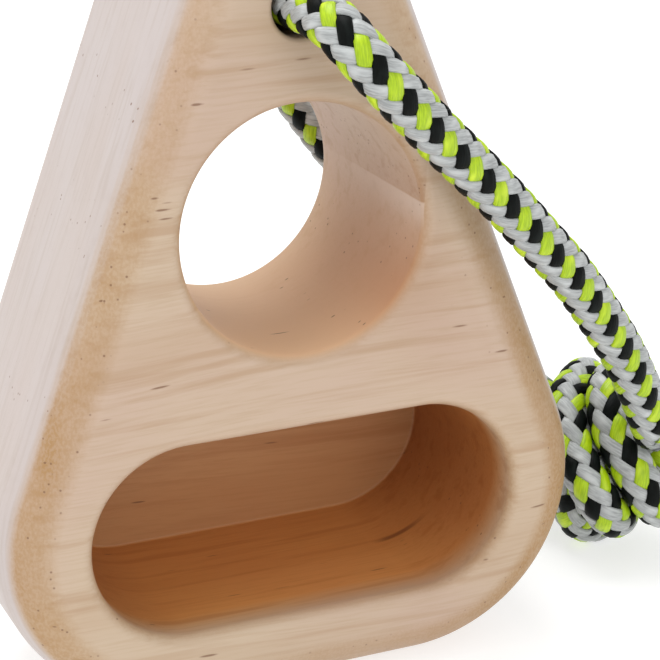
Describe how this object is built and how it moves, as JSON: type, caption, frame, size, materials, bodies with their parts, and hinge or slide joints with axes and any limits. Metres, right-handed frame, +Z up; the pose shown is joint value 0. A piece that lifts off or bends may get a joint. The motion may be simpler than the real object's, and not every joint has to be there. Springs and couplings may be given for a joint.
{
  "type": "climbing hand grip",
  "caption": "Hanging wooden hand grip with a round grip hole and a deep finger pocket, on a knotted sling of braided rope.",
  "frame": {"origin": "middle of the wooden block's bottom, on the surface it stands on", "axes": "+X to the right and +Z up, seen from the front; +Y from the front face to the back face"},
  "size_m": [0.2021, 0.1102, 0.164],
  "materials": {
    "wood": "sanded bare softwood",
    "rope": "braided synthetic fibre in light grey, black and yellow-green",
    "rope_grey": "light grey braided fibre",
    "rope_black": "black braided fibre",
    "rope_yellow": "yellow-green braided fibre",
    "melted_end": "fibres melted together at the cut end"
  },
  "bodies": {
    "block": {"grip_block": "wood"},
    "sling": {"rope_bore_run": "rope", "rope_front_run": "rope", "rope_back_run": "rope", "rope_knot": "rope", "rope_front_tail": "rope", "rope_back_tail": "rope"}
  },
  "joints": [
    {"name": "sling_swing", "type": "hinge", "parent": "block", "child": "sling", "pos_m": [0, 0, 0.1405], "axis": [0, -1, 0], "range_deg": [0, 280]}
  ]
}
